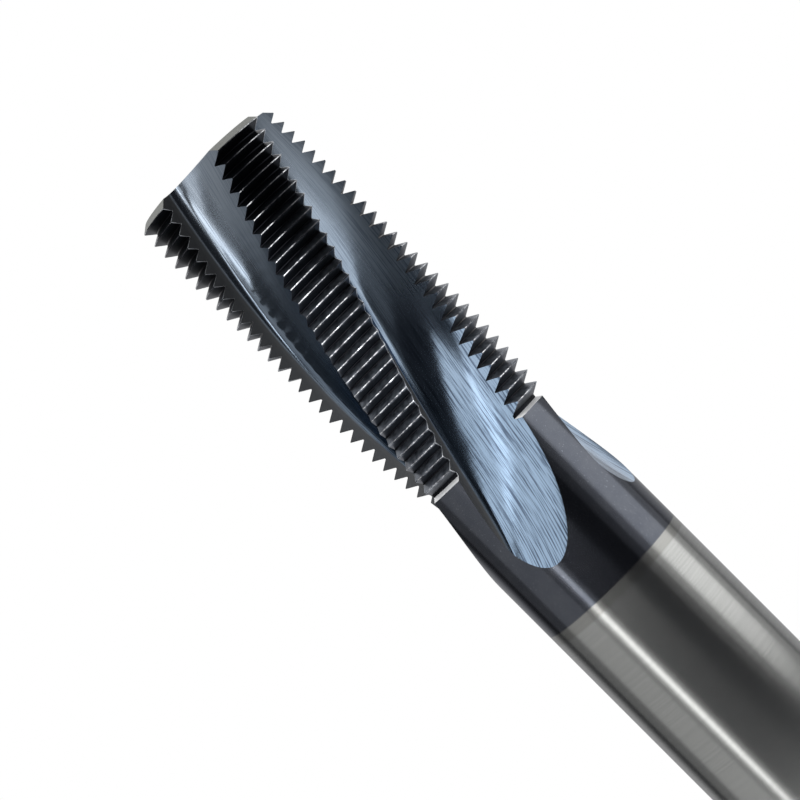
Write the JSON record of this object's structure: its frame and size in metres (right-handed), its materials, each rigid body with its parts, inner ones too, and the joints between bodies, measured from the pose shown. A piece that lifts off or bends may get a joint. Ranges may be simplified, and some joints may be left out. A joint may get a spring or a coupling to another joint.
{
  "type": "thread mill",
  "caption": "Solid carbide thread mill: annular V teeth on a helically fluted cutting head, with a plain round shank.",
  "frame": {"origin": "centre of the shank's end face, on the tool axis", "axes": "+Z along the tool axis from the shank end to the cutting end; a cutting edge meets the cutting end on +X"},
  "size_m": [0.0126, 0.0126, 0.084],
  "materials": {
    "coated_carbide": "blue-black hard coating on the head and the front of the shank, bare ground metal on the rest of the shank"
  },
  "bodies": {
    "root": {"thread_mill": "coated_carbide"}
  },
  "joints": []
}
